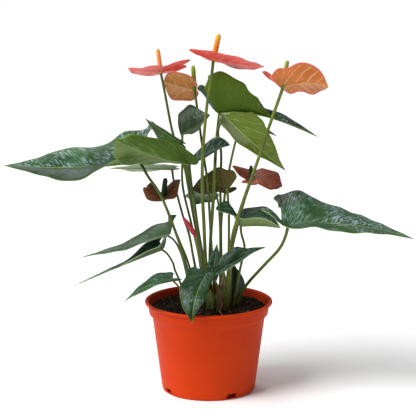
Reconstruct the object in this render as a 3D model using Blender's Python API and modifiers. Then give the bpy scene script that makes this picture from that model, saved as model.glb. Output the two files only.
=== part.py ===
"""Potted anthurium in a nursery pot: blades, stalks, flowers, soil and pot as separate solids.

The frame is in metres with +Z up. The origin is the centre of the pot's flat underside, +X runs along
the widest spread of the leaves, and -Y is the side that the two brightest flowers lean out over.
Places of leaves and stalks are written in millimetres and turned into metres by MM.
"""

import math

import bmesh
import bpy
import numpy as np
from mathutils import Matrix

MM = 0.001
GAP = 0.0004

# Pot: a round pot for a 165 mm rim, with a rolled lip, a collar, a straight taper and drainage notches.
RIM_RADIUS = 0.0825
POT_HEIGHT = 0.1188
COLLAR_RADIUS = 0.0787
COLLAR_FOOT = 0.0770
BODY_RADIUS = 0.0725
BASE_RADIUS = 0.0604
COLLAR_BOTTOM = 0.1020
BODY_TOP = 0.0975
POT_WALL = 0.0017
POT_FLOOR = 0.0060
POT_STEPS = 40
NOTCH_ANGLES = (-60, 30, 120, 210)
NOTCH_WIDTH = 0.030
NOTCH_HEIGHT = 0.005
NOTCH_FACE = 0.0578
SLOT_WIDTH = 0.014
SLOT_HEIGHT = 0.0064
SLOT_MIDDLE = 0.005
CUT_DEPTH = 0.012

SOIL_TOP = 0.1085
STALK_START = 0.1102

VEIN_SLANT = 0.25
LONG_BLADES = ("left_long", "right_long", "top", "left_upper", "top_hanging")
LEAF_THICKNESS = 0.0007
SPATHE_THICKNESS = 0.0009
LOBE_X = -0.30
LOBE_Y = 0.52
INNER_X = -0.28
INNER_Y = 0.30
OUTER_X = -0.20
OUTER_Y = 0.82
LOBE_FALL = 0.78
WIDE_X = 0.08
MIDDLE_X = 0.30
MIDDLE_Y = 0.90
FAR_X = 0.55
FAR_Y = 0.60
END_X = 0.80
END_Y = 0.24

# Half of a heart-shaped blade: x runs along the midrib from the stalk (0) to the tip (1), y out to the edge.
LOBE = ((0.0, 0.0), (-0.14, 0.10), (-0.28, 0.30), (-0.30, 0.52), (-0.20, 0.82), (0.08, 1.0))
LEAF_HALF = (*LOBE, (0.30, 0.88), (0.55, 0.60), (0.80, 0.24), (1.0, 0.0))
SPATHE_HALF = (*LOBE, (0.30, 0.97), (0.55, 0.78), (0.80, 0.42), (1.0, 0.0))
SHEATH_HALF = (
    (0.0, 0.0), (0.0, 0.5), (0.04, 0.9), (0.08, 1.0), (0.3, 0.95), (0.55, 0.75), (0.8, 0.35), (1.0, 0.0),
)

GREEN = (0.035, 0.085, 0.025)
STALK_GREEN = (0.16, 0.20, 0.035)
CORAL = (0.86, 0.13, 0.10)
TAN = (0.62, 0.27, 0.11)
BROWN = (0.20, 0.06, 0.035)
ORANGE = (0.95, 0.36, 0.05)
SPADIX_GREEN = (0.12, 0.16, 0.03)
TERRACOTTA = (0.66, 0.10, 0.03)
PEAT = (0.045, 0.028, 0.018)
ROOT_TAN = (0.45, 0.30, 0.18)
BUD_RED = (0.35, 0.03, 0.04)
SHEATH_BROWN = (0.24, 0.13, 0.09)

# Each blade: base (where the stalk joins), middle and tip of the midrib, then for each half the end of its
# lobe, its widest point and a point beyond the middle. Three or four edge points add the places between
# and before the tip. A pair in place of a lobe's end gives its inner and its outer edge. None keeps the
# heart shape's own place.
LEAVES = {
    "left_long": dict(
        base=(-88, 2, 301), middle=(-174, -3, 294), tip=(-262, 5, 295),
        left=(None, (-109, -36, 312), (-185, -38, 284)),
        right=((-72, 32, 345), (-103, 38, 334), (-139, 34, 315), (-191, 28, 311)),
    ),
    "left_upper": dict(
        base=(-25, -15, 301), middle=(-73, -55, 321), tip=(-115, -90, 348),
        left=((-16, -34, 312), (-53, -64, 341), (-99, -96, 354)),
        right=(
            ((26, -13, 325), (-1, -9, 329)), (-47, 3, 299), (-86, -16, 301), (-111, -50, 309),
            (-118, -76, 331),
        ),
    ),
    "left_flat": dict(
        base=(-47, 25, 286), middle=(-86, 22, 288), tip=(-127, 16, 289),
        left=((-40, 14, 293), (-62, 6, 296), (-94, 6, 296)),
        right=((-39, 38, 284), (-63, 52, 279), (-96, 44, 279)),
    ),
    "top": dict(
        base=(14, 0, 364), middle=(70, -2, 361), tip=(139, 2, 333),
        left=((-14, 20, 395), (16, 32, 392), (40, 26, 375), (94, 16, 360), (113, 8, 350)),
        right=(((-2, -6, 390), (0, -10, 412)), (13, -14, 420), (41, -15, 408), (60, -14, 388), (82, -6, 360)),
    ),
    "top_hanging": dict(
        base=(19, -8, 362), middle=(56, -15, 328), tip=(98, -18, 293),
        left=((40, -9, 360), (66, -11, 359), (75, -13, 345), (85, -16, 323)),
        right=((15, -22, 363), (23, -26, 346), (40, -28, 328), (62, -28, 315)),
    ),
    "small_upper": dict(
        base=(-34, 17, 332), middle=(-15, 16, 345), tip=(2, 16, 359),
        left=((-37, 24, 343), (-34, 28, 362), (-19, 26, 369)),
        right=((-28, 5, 336), (-15, 3, 340), (-5, 5, 352)),
    ),
    "left_back": dict(
        base=(-38, -6, 328), middle=(-58, -4, 340), tip=(-81, 2, 357),
        left=(None, (-46, -24, 328), (-64, -20, 334)),
        right=(None, (-47, 7, 335), (-71, 9, 350)),
    ),
    "centre_back": dict(
        base=(9, 35, 253), middle=(-11, 40, 251), tip=(-31, 45, 246),
        left=((12, 26, 250), (-1, 17, 244), (-20, 27, 241)),
        right=((12, 44, 256), (-1, 55, 256), (-20, 60, 255)),
    ),
    "right_middle": dict(
        base=(41, -10, 219), middle=(68, -12, 220), tip=(92, -22, 219),
        left=((38, 8, 229), (53, 22, 236), (80, 6, 236)),
        right=(((21, -12, 252), (16, -24, 241)), (52, -32, 234), (76, -36, 233)),
    ),
    "right_long": dict(
        base=(101, -20, 221), middle=(179, -35, 226), tip=(260, -50, 211),
        left=(((89, 34, 241), (91, 46, 249)), (115, 48, 253), (150, 36, 240), (191, 6, 231)),
        right=((68, -62, 254), (122, -72, 231), (183, -75, 225)),
    ),
    "low_left_upper": dict(
        base=(-53, -10, 207), middle=(-107, -5, 191), tip=(-165, 5, 174),
        left=((-50, -22, 212), (-67, -33, 208), (-116, -25, 189)),
        right=(((-43, 15, 225), (-52, 20, 225)), (-65, 20, 215), (-117, 15, 188)),
    ),
    "low_left_middle": dict(
        base=(-60, -25, 192), middle=(-111, -20, 170), tip=(-172, -10, 141),
        left=((-52, -50, 216), (-77, -52, 196), (-119, -35, 169)),
        right=((-63, -4, 202), (-78, -2, 196), (-114, -5, 168)),
    ),
    "low_left_small": dict(
        base=(-48, -42, 157), middle=(-77, -50, 150), tip=(-107, -60, 132),
        left=(None, (-61, -66, 157), (-83, -66, 146)),
        right=((-46, -25, 161), (-62, -25, 161), (-84, -35, 150)),
    ),
    "front": dict(
        base=(-3, -42, 163), middle=(-16, -80, 143), tip=(-21, -98, 114),
        left=((4, -42, 181), (3, -54, 159), (-8, -88, 136)),
        right=((-23, -36, 171), (-35, -62, 156), (-32, -88, 131)),
    ),
    "low_right_upper": dict(
        base=(18, -34, 168), middle=(46, -34, 185), tip=(73, -29, 196),
        left=((13, -29, 178), (31, -27, 194), (53, -27, 194)),
        right=((10, -44, 164), (32, -54, 177), (53, -46, 190)),
    ),
    "low_right_back": dict(
        base=(30, 20, 129), middle=(33, 28, 143), tip=(33, 30, 159),
        left=(None, (23, 16, 140), (25, 22, 153)),
        right=(None, (47, 13, 133), (43, 23, 146)),
    ),
    "young": dict(
        base=(5, -29, 157), middle=(8, -25, 178), tip=(11, -20, 199),
        left=(None, (-3, -27, 168), None),
        right=(None, (15, -26, 168), None),
    ),
}

# Stalk of each blade: where it leaves the soil (x, y), the places it passes, and its radius at foot and top.
PETIOLES = {
    "left_long": (
        (-13, -16),
        ((-28, -22, 167), (-41, -28, 212), (-60, -34, 263), (-77, -20, 286)),
        2.1, 1.7,
    ),
    "left_upper": ((3, -5), ((-7, -6, 174), (-14, -8, 217), (-18, -8, 247), (-22, -8, 272)), 2.0, 1.8),
    "left_flat": (
        (-6, -9),
        ((-19, -8, 174), (-25, -4, 206), (-33, 4, 229), (-40, 14, 253), (-45, 20, 272)),
        1.7, 1.4,
    ),
    "top": (
        (2, 3),
        ((2, -4, 186), (5, -9, 238), (7, -10, 272), (8, -6, 294), (9, 4, 314), (11, 6, 337)),
        2.2, 2.0,
    ),
    "top_hanging": (
        (17, 0),
        ((16, 6, 194), (16, 12, 227), (15, 15, 264), (16, 9, 310), (12, -5, 341)),
        1.8, 1.6,
    ),
    "small_upper": ((-4, 7), ((-12, 6, 172), (-23, 8, 221), (-33, 10, 265), (-34, 16, 300)), 1.7, 1.4),
    "left_back": (
        (1, 13),
        ((-8, 12, 166), (-13, 11, 207), (-23, 14, 259), (-29, 16, 296), (-35, 8, 318)),
        1.7, 1.4,
    ),
    "centre_back": ((15, 20), ((15, 28, 192), (13, 34, 235)), 1.5, 1.3),
    "right_middle": ((31, -3), ((39, -8, 154), (43, -10, 174), (46, -11, 192), (42, -11, 209)), 1.7, 1.5),
    "right_long": ((34, 6), ((47, 3, 135), (69, -4, 163), (90, -10, 188), (98, -16, 206)), 2.1, 2.0),
    "low_left_upper": ((-19, -3), ((-31, -12, 168), (-39, -12, 192), (-46, -11, 202)), 1.5, 1.2),
    "low_left_middle": (
        (-24, -9),
        ((-37, -16, 147), (-43, -20, 163), (-46, -22, 174), (-53, -24, 186)),
        1.5, 1.3,
    ),
    "low_left_small": ((-22, -20), ((-37, -30, 141), (-43, -37, 151)), 1.4, 1.1),
    "front": ((12, -27), ((12, -29, 128), (11, -35, 147), (5, -40, 156)), 1.6, 1.4),
    "low_right_upper": ((20, -20), ((23, -26, 144), (21, -31, 157)), 1.5, 1.3),
    "low_right_back": ((25, 13), ((27, 16, 118),), 1.5, 1.3),
}

# Flowers: the peduncle as above, the spathe as a blade, and the spadix as its tip and radius.
FLOWERS = {
    "left": dict(
        stalk=(
            (5, 19),
            ((-16, 21, 207), (-26, 27, 262), (-32, 30, 291), (-46, 31, 332), (-56, 27, 385)),
            2.1, 1.5,
        ),
        base=(-61, 25, 412), middle=(-81, 20, 414), tip=(-103, 15, 419),
        left=((-25, 2, 427), (-60, -6, 426), (-87, 0, 421)),
        right=((-32, 44, 420), (-69, 55, 404), (-91, 40, 408)),
        spadix=((-65, 24, 443), 2.8), colour=CORAL, spadix_colour=ORANGE,
    ),
    "top": dict(
        stalk=(
            (0, -12),
            ((-4, -16, 176), (-6, -20, 224), (-8, -23, 266), (-8, -25, 304), (-7, -26, 325), (-2, -22, 379),
             (3, -20, 410)),
            2.5, 1.8,
        ),
        base=(6, -18, 435), middle=(37, -20, 430), tip=(70, -22, 427),
        left=((-16, 2, 440), (16, 12, 426), (44, 2, 421)),
        right=((-24, -46, 453), (15, -52, 449), (42, -45, 439)),
        spadix=((13, -17, 468), 3.5), colour=CORAL, spadix_colour=ORANGE,
    ),
    "right": dict(
        stalk=((22, -12), ((29, -24, 196), (37, -40, 237), (62, -44, 312), (77, -40, 357)), 2.5, 1.9),
        base=(93, -30, 402), middle=(122, -32, 408), tip=(150, -35, 403),
        left=((70, -5, 416), (111, 0, 391), (133, -5, 393)),
        right=((80, -52, 424), (106, -55, 435), (131, -50, 427)),
        spadix=((99, -26, 436), 2.9), colour=TAN, spadix_colour=SPADIX_GREEN,
    ),
    "upper_back": dict(
        stalk=(
            (9, 9),
            ((4, 8, 183), (2, 4, 219), (0, 0, 254), (-2, -1, 279), (-6, 12, 304), (-10, 30, 329),
             (-14, 40, 358)),
            1.8, 1.5,
        ),
        base=(-18, 46, 386), middle=(-37, 42, 391), tip=(-58, 38, 398),
        left=((-16, 34, 398), (-31, 26, 410), (-47, 30, 408)),
        right=((-14, 56, 377), (-29, 62, 369), (-47, 57, 377)),
        spadix=((-20, 46, 418), 2.9), colour=TAN, spadix_colour=SPADIX_GREEN,
    ),
    "brown_left": dict(
        stalk=((-12, -2), ((-25, -5, 165), (-37, -19, 201), (-45, -19, 221), (-54, -8, 241)), 1.5, 1.3),
        base=(-58, -2, 252), middle=(-47, -7, 263), tip=(-36, -10, 280),
        left=(((-79, 22, 262), (-71, 28, 266)), (-60, 20, 257), (-47, 6, 271)),
        right=(((-83, -20, 271), (-74, -28, 257)), (-55, -27, 256), (-42, -20, 263)),
        spadix=((-55, -1, 280), 3.4), colour=BROWN, spadix_colour=SPADIX_GREEN,
    ),
    "brown_centre": dict(
        stalk=((25, -4), ((26, -3, 190), (26, -4, 229), (25, -5, 250)), 1.8, 1.6),
        base=(24, -6, 268), middle=(2, 12, 268), tip=(-21, 30, 259),
        left=((35, -18, 288), (17, -8, 295), (-5, 13, 277)),
        right=((35, 4, 264), (15, 8, 259), (-8, 25, 256)),
        spadix=((27, 10, 289), 2.8), colour=BROWN, spadix_colour=SPADIX_GREEN,
    ),
    "brown_right": dict(
        stalk=((27, 5), ((30, 20, 174), (38, 34, 210), (47, 38, 243)), 1.6, 1.4),
        base=(54, 30, 268), middle=(74, 27, 274), tip=(95, 25, 263),
        left=((32, 54, 285), (67, 57, 280), (86, 44, 275)),
        right=((43, 3, 274), (62, -3, 273), (80, 5, 266)),
        spadix=((55, 30, 290), 2.6), colour=BROWN, spadix_colour=SPADIX_GREEN,
    ),
}

# Furled buds are one piece with their stalks: the places passed, and a radius at each in millimetres.
BUDS = {
    "red": (
        (2, -19),
        ((-9, -18, 168), (-14, -23, 193), (-17, -25, 209), (-21, -27, 217), (-27, -28, 227), (-34, -28, 237)),
        (1.7, 1.5, 1.4, 2.2, 3.3, 2.6, 0.4),
    ),
    "brown": (
        (18, 9),
        ((16, 20, 207), (20, 26, 244), (22, 27, 260), (28, 29, 292), (35, 33, 322), (41, 36, 340),
         (54, 36, 343), (70, 36, 337), (87, 36, 328)),
        (1.9, 1.8, 1.7, 1.7, 1.6, 1.5, 1.5, 3.4, 3.0, 0.5),
    ),
}

ROOT_PATH = ((17.5, -22, 121), (16, -26, 116), (14.5, -36, 113), (18, -48, 110.4), (22, -58, 110.0))
ROOT_RADIUS = 0.0011

SHEATH = dict(
    base=(13, -17, 110.5), middle=(13.5, -18.5, 125), tip=(16, -17, 143),
    left=(None, (8, -14.5, 114), (9.5, -15, 128)),
    right=(None, (18, -15, 114), (18.5, -15.5, 128)),
)


def clear_scene():
    for old in list(bpy.data.objects):
        bpy.data.objects.remove(old)


def new_collection(name):
    collection = bpy.data.collections.new(name)
    bpy.context.scene.collection.children.link(collection)
    return collection


def new_material(name, colour, roughness):
    material = bpy.data.materials.new(name)
    material.use_nodes = True
    shader = material.node_tree.nodes["Principled BSDF"]
    shader.inputs["Base Color"].default_value = (*colour, 1.0)
    shader.inputs["Roughness"].default_value = roughness
    shader.inputs["Metallic"].default_value = 0.0
    return material


def place(collection, name, data, colour, roughness):
    obj = bpy.data.objects.new(name, data)
    collection.objects.link(obj)
    data.materials.append(new_material(name, colour, roughness))
    return obj


def smooth_path(points, count):
    """Even samples of a Catmull-Rom curve through the points."""
    points = np.asarray(points, float)
    ends = np.vstack([2 * points[0] - points[1], points, 2 * points[-1] - points[-2]])
    place_along = np.linspace(0, len(points) - 1, count)
    index = np.minimum(place_along.astype(int), len(points) - 2)
    t = (place_along - index)[:, None]
    a, b, c, d = (ends[index + shift] for shift in range(4))
    curve = 2 * b + (c - a) * t + (2 * a - 5 * b + 4 * c - d) * t**2 + (3 * b - a - 3 * c + d) * t**3
    return curve / 2


def ease(share):
    """Smooth step from 0 to 1."""
    share = np.clip(share, 0, 1)
    return share * share * (3 - 2 * share)


class Blade:
    """A heart-shaped surface bent along its midrib, with each half turned by its own control points."""

    def __init__(self, spec):
        names = ("base", "middle", "tip")
        self.base, self.middle, self.tip = (np.array(spec[name], float) * MM for name in names)
        self.halves = {side: self.half(spec[side]) for side in ("left", "right")}

    def midrib(self, x):
        x = np.asarray(x, float)[..., None]
        bent = self.base * (1 - x) * (1 - 2 * x) + self.middle * 4 * x * (1 - x) + self.tip * x * (2 * x - 1)
        return np.where(x < 0, self.base + x * self.direction(), bent)

    def direction(self):
        return 4 * self.middle - 3 * self.base - self.tip

    def half(self, points):
        """Vectors to the full half-width at each control place, and the lobe's shifts near to and far out."""
        lobe, *edge = (None if point is None else np.array(point, float) * MM for point in points)
        places = [(WIDE_X, 1.0), (FAR_X, FAR_Y), (END_X, END_Y)]
        if len(edge) > 2:
            places.insert(1, (MIDDLE_X, MIDDLE_Y))
        known = []
        for (x, y), point in zip(places, edge):
            if point is not None:
                known.append((x, (point - self.midrib(x)) / y))
        across = known[0][1]
        inner = outer = np.zeros(3)
        if lobe is not None and lobe.ndim == 1:
            inner = lobe - self.midrib(LOBE_X) - LOBE_Y * across
            outer = inner * LOBE_FALL
        elif lobe is not None:
            inner = lobe[0] - self.midrib(INNER_X) - INNER_Y * across
            outer = (lobe[1] - self.midrib(OUTER_X) - OUTER_Y * across) / ease(OUTER_X / LOBE_X)
        return known, inner, outer

    def across(self, side, x):
        """Vector from the midrib to the full half-width, turning from the widest place to the tip."""
        known = self.halves[side][0]
        total = known[0][1]
        for (start, before), (end, after) in zip(known, known[1:]):
            total = total + ease((x - start) / (end - start))[..., None] * (after - before)
        return total

    def normals(self):
        """Directions square to the whole blade, its left half and its right half at the base."""
        left = self.halves["left"][0][0][1]
        right = self.halves["right"][0][0][1]
        up = np.cross(self.direction(), [left - right, left, -right])
        return up / np.linalg.norm(up, axis=1)[:, None]

    def point(self, side, x, y):
        x, y = np.asarray(x, float), np.asarray(y, float)
        inner, outer = self.halves[side][1:]
        moved = ease(x / LOBE_X) * np.clip((1 - y) / (1 - OUTER_Y), 0, 1) ** 0.25
        turned = ease((y - INNER_Y) / (OUTER_Y - INNER_Y))[..., None]
        lobe = inner + turned * (outer - inner)
        return self.midrib(x) + y[..., None] * self.across(side, x) + moved[..., None] * lobe


def blade_object(collection, name, spec, outline, thickness, rows, columns, colour, roughness):
    """Both halves as one open surface, joined along the midrib and thickened."""
    blade = Blade(spec)
    edge = smooth_path(outline, rows)
    vein_start = np.maximum(0, edge[:, 0] - VEIN_SLANT * edge[:, 1])
    along = np.linspace(0, 1, columns)
    x = vein_start[:, None] * (1 - along) + edge[:, :1] * along
    y = edge[:, 1:] * along
    mesh_edit = bmesh.new()
    for side in ("left", "right"):
        grid = blade.point(side, x, y)
        vertices = [[mesh_edit.verts.new(point) for point in row] for row in grid]
        for row in range(rows - 1):
            for column in range(columns - 1):
                corners = [
                    vertices[row][column],
                    vertices[row][column + 1],
                    vertices[row + 1][column + 1],
                    vertices[row + 1][column],
                ]
                mesh_edit.faces.new(corners if side == "right" else corners[::-1])
    bmesh.ops.remove_doubles(mesh_edit, verts=mesh_edit.verts, dist=0.00005)
    mesh = bpy.data.meshes.new(name)
    mesh_edit.to_mesh(mesh)
    mesh_edit.free()
    mesh.shade_smooth()
    obj = place(collection, name, mesh, colour, roughness)
    solidify = obj.modifiers.new("thickness", "SOLIDIFY")
    solidify.thickness = thickness
    solidify.offset = 0.0
    return blade


def tube_object(collection, name, points, radii, samples, colour, roughness):
    """A round tube through the points, its radius running smoothly through the list of radii."""
    path = smooth_path(points, samples)
    widths = smooth_path(np.asarray(radii, float)[:, None], samples)[:, 0]
    curve = bpy.data.curves.new(name, "CURVE")
    curve.dimensions = "3D"
    curve.bevel_depth = 1.0
    curve.bevel_resolution = 2
    curve.use_fill_caps = True
    spline = curve.splines.new("POLY")
    spline.points.add(samples - 1)
    for target, point, width in zip(spline.points, path, widths):
        target.co = (*point, 1.0)
        target.radius = width
    return place(collection, name, curve, colour, roughness)


def seat(blade, direction, radius, thickness, side):
    """A tube's end beside the blade's base, with the gap kept from both halves all round its rim."""
    direction = direction / np.linalg.norm(direction)
    normals = blade.normals()
    tilt = np.sqrt(np.clip(1 - (normals @ direction) ** 2, 0, 1))
    lift = (GAP + thickness / 2 + radius * tilt) / (normals @ normals[0])
    return blade.base + side * normals[0] * lift.max()


def stalk_points(stalk, blade, thickness):
    foot, route, foot_radius, top_radius = stalk
    route = [np.array(point, float) * MM for point in route]
    start = np.array([foot[0] * MM, foot[1] * MM, STALK_START])
    top = seat(blade, blade.base - route[-1], top_radius * MM, thickness, -1)
    points = [start, *route, top]
    radii = np.linspace(foot_radius, top_radius, len(points)) * MM
    return points, radii


def make_pot(parts, cutters):
    profile = [
        (0.0, POT_FLOOR),
        (BASE_RADIUS - POT_WALL - 0.002, POT_FLOOR),
        (BASE_RADIUS - POT_WALL + 0.0006, POT_FLOOR + 0.003),
        (BODY_RADIUS - POT_WALL, BODY_TOP),
        (COLLAR_FOOT - POT_WALL, COLLAR_BOTTOM),
        (COLLAR_RADIUS - POT_WALL, POT_HEIGHT - 0.0035),
        (COLLAR_RADIUS - POT_WALL + 0.0016, POT_HEIGHT - 0.0006),
        (RIM_RADIUS - 0.0022, POT_HEIGHT),
        (RIM_RADIUS - 0.0005, POT_HEIGHT - 0.0007),
        (RIM_RADIUS, POT_HEIGHT - 0.0018),
        (RIM_RADIUS - 0.0006, POT_HEIGHT - 0.0032),
        (COLLAR_RADIUS + 0.0006, POT_HEIGHT - 0.0036),
        (COLLAR_RADIUS, POT_HEIGHT - 0.0044),
        (COLLAR_FOOT, COLLAR_BOTTOM),
        (BODY_RADIUS, BODY_TOP),
        (BASE_RADIUS, 0.0045),
        (BASE_RADIUS - 0.0010, 0.0014),
        (BASE_RADIUS - 0.0032, 0.0),
        (0.0, 0.0),
    ]
    pot = turned_object(parts, "pot", profile, POT_STEPS, TERRACOTTA, 0.35)
    recess = (CUT_DEPTH, NOTCH_WIDTH, 2 * NOTCH_HEIGHT)
    slot = (CUT_DEPTH, SLOT_WIDTH, SLOT_HEIGHT)
    for number, angle in enumerate(NOTCH_ANGLES):
        turn = math.radians(angle - 90)
        cut_box(pot, cutters, f"recess_{number}", recess, turn, NOTCH_FACE + CUT_DEPTH / 2, 0.0)
        cut_box(pot, cutters, f"slot_{number}", slot, turn, NOTCH_FACE - 0.001, SLOT_MIDDLE)


def cut_box(target, cutters, name, size, turn, reach, height):
    """Cuts a box from the target, its middle at a distance from the axis and turned to face it."""
    mesh = bpy.data.meshes.new(name)
    mesh_edit = bmesh.new()
    bmesh.ops.create_cube(mesh_edit, size=1.0, matrix=Matrix.Diagonal((*size, 1.0)))
    mesh_edit.to_mesh(mesh)
    mesh_edit.free()
    cutter = bpy.data.objects.new(name, mesh)
    cutter.location = (reach * math.cos(turn), reach * math.sin(turn), height)
    cutter.rotation_euler = (0.0, 0.0, turn)
    cutter.hide_render = True
    cutter.display_type = "WIRE"
    cutters.objects.link(cutter)
    cut = target.modifiers.new(name, "BOOLEAN")
    cut.operation = "DIFFERENCE"
    cut.solver = "EXACT"
    cut.object = cutter


def turned_object(collection, name, profile, steps, colour, roughness):
    mesh = bpy.data.meshes.new(name)
    edges = [(index, index + 1) for index in range(len(profile) - 1)]
    mesh.from_pydata([(radius, 0.0, height) for radius, height in profile], edges, [])
    obj = place(collection, name, mesh, colour, roughness)
    screw = obj.modifiers.new("turn", "SCREW")
    screw.axis = "Z"
    screw.steps = steps
    screw.render_steps = steps
    screw.use_merge_vertices = True
    screw.merge_threshold = 0.00001
    screw.use_smooth_shade = True
    return obj


def make_soil(parts):
    inset = POT_WALL + GAP
    profile = [
        (0.0, SOIL_TOP),
        (0.055, SOIL_TOP),
        (COLLAR_FOOT + 0.0003 - inset, SOIL_TOP - 0.0005),
        (COLLAR_FOOT - inset, COLLAR_BOTTOM),
        (BODY_RADIUS - inset, BODY_TOP - 0.0002),
        (BASE_RADIUS - inset + 0.0004, POT_FLOOR + 0.0035),
        (BASE_RADIUS - inset - 0.0024, POT_FLOOR + GAP),
        (0.0, POT_FLOOR + GAP),
    ]
    turned_object(parts, "soil", profile, POT_STEPS, PEAT, 0.95)


def make_leaves(parts):
    for name, spec in LEAVES.items():
        rows, columns = (13, 4) if name in LONG_BLADES else (10, 3)
        blade = blade_object(
            parts, f"leaf_{name}", spec, LEAF_HALF, LEAF_THICKNESS, rows, columns, GREEN, 0.35
        )
        if name in PETIOLES:
            points, radii = stalk_points(PETIOLES[name], blade, LEAF_THICKNESS)
            tube_object(parts, f"petiole_{name}", points, radii, 2 * len(points) - 1, STALK_GREEN, 0.5)


def make_flowers(parts):
    for name, spec in FLOWERS.items():
        blade = blade_object(
            parts, f"spathe_{name}", spec, SPATHE_HALF, SPATHE_THICKNESS, 11, 3, spec["colour"], 0.3
        )
        points, radii = stalk_points(spec["stalk"], blade, SPATHE_THICKNESS)
        tube_object(parts, f"peduncle_{name}", points, radii, 2 * len(points) - 2, STALK_GREEN, 0.5)
        tip, radius = spec["spadix"]
        tip = np.array(tip, float) * MM
        foot = seat(blade, tip - blade.base, radius * MM, SPATHE_THICKNESS, 1)
        route = [foot, foot * 0.65 + tip * 0.35, foot * 0.25 + tip * 0.75, tip]
        widths = np.array([0.9, 1.0, 0.92, 0.6]) * radius * MM
        tube_object(parts, f"spadix_{name}", route, widths, 7, spec["spadix_colour"], 0.6)


def make_buds(parts):
    colours = {"red": BUD_RED, "brown": BROWN}
    for name, (foot, route, radii) in BUDS.items():
        points = [(foot[0], foot[1], STALK_START / MM), *route]
        points = np.array(points, float) * MM
        tube_object(
            parts, f"bud_{name}", points, np.array(radii) * MM, 2 * len(points) + 2, colours[name], 0.4
        )


def make_crown(parts):
    root = np.array(ROOT_PATH, float) * MM
    tube_object(parts, "aerial_root", root, [ROOT_RADIUS] * len(root), 9, ROOT_TAN, 0.8)
    blade_object(parts, "sheath", SHEATH, SHEATH_HALF, LEAF_THICKNESS, 9, 3, SHEATH_BROWN, 0.7)


def main():
    clear_scene()
    parts = new_collection("potted_anthurium")
    cutters = new_collection("cutters")
    make_pot(parts, cutters)
    make_soil(parts)
    make_leaves(parts)
    make_flowers(parts)
    make_buds(parts)
    make_crown(parts)


main()
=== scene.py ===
"""Looks of the potted anthurium: fine blades, flowers, stalks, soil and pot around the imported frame.

Every piece rides on the one body. Each CAD node has its piece, and the raised midribs and three more sheaths
stand for none. Blades follow the CAD blades' control points, in millimetres, but for the left spathe, whose
lobes are broader here. Arched halves, quilting between the veins and wavy margins are added.
"""
import math
import random

import bmesh
import bpy
import numpy as np
from mathutils import Matrix, Vector, noise


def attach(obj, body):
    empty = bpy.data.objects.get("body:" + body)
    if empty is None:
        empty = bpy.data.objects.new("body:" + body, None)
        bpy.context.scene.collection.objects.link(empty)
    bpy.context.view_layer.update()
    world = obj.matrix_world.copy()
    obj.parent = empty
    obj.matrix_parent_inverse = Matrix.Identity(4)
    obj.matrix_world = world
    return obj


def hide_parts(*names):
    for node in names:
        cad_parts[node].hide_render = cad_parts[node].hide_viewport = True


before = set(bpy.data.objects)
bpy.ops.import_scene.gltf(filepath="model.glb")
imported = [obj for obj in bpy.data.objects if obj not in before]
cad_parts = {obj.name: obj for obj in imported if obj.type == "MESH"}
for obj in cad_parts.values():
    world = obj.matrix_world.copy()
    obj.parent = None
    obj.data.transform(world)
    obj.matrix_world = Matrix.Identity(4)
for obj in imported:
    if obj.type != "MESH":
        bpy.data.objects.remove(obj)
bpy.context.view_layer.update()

MM = 0.001
BODY = "root"

# Pot, as in the CAD: a 165 mm rim, a rolled lip, a collar, a straight taper and drainage notches.
RIM_RADIUS = 0.0825
POT_HEIGHT = 0.1188
COLLAR_RADIUS = 0.0787
COLLAR_FOOT = 0.0770
BODY_RADIUS = 0.0725
BASE_RADIUS = 0.0604
COLLAR_BOTTOM = 0.1020
BODY_TOP = 0.0975
POT_WALL = 0.0017
POT_FLOOR = 0.0060
POT_STEPS = 144
NOTCH_ANGLES = (-60, 30, 120, 210)
NOTCH_WIDTH = 0.030
NOTCH_HEIGHT = 0.005
NOTCH_FACE = 0.0578
SLOT_WIDTH = 0.014
SLOT_HEIGHT = 0.0064
SLOT_MIDDLE = 0.005
CUT_DEPTH = 0.012

SOIL_TOP = 0.1085
SOIL_EDGE = 0.0748
SOIL_SIDE = ((0.0748, 0.1026), (0.0704, 0.0973), (0.0589, 0.0098), (0.0568, 0.0064))
SOIL_RINGS = 60
SOIL_STEPS = 150
STALK_FOOT = 0.1065

VEIN_SLANT = 0.25
LEAF_THICKNESS = 0.0006
SPATHE_THICKNESS = 0.0008
LOBE_X = -0.30
LOBE_Y = 0.52
INNER_X = -0.28
INNER_Y = 0.30
OUTER_X = -0.20
OUTER_Y = 0.82
LOBE_FALL = 0.78
WIDE_X = 0.08
MIDDLE_X = 0.30
MIDDLE_Y = 0.90
FAR_X = 0.55
FAR_Y = 0.60
END_X = 0.80
END_Y = 0.24

# Half of a heart-shaped blade: x runs along the midrib from the stalk (0) to the tip (1), y out to the edge.
LOBE = ((0.0, 0.0), (-0.14, 0.10), (-0.28, 0.30), (-0.30, 0.52), (-0.20, 0.82), (0.08, 1.0))
LEAF_HALF = (*LOBE, (0.30, 0.88), (0.55, 0.60), (0.80, 0.24), (1.0, 0.0))
SPATHE_HALF = (*LOBE, (0.30, 0.97), (0.55, 0.78), (0.80, 0.42), (1.0, 0.0))
SHEATH_HALF = (
    (0.0, 0.0), (0.0, 0.5), (0.04, 0.9), (0.08, 1.0), (0.3, 0.95), (0.55, 0.75), (0.8, 0.35), (1.0, 0.0),
)

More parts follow.
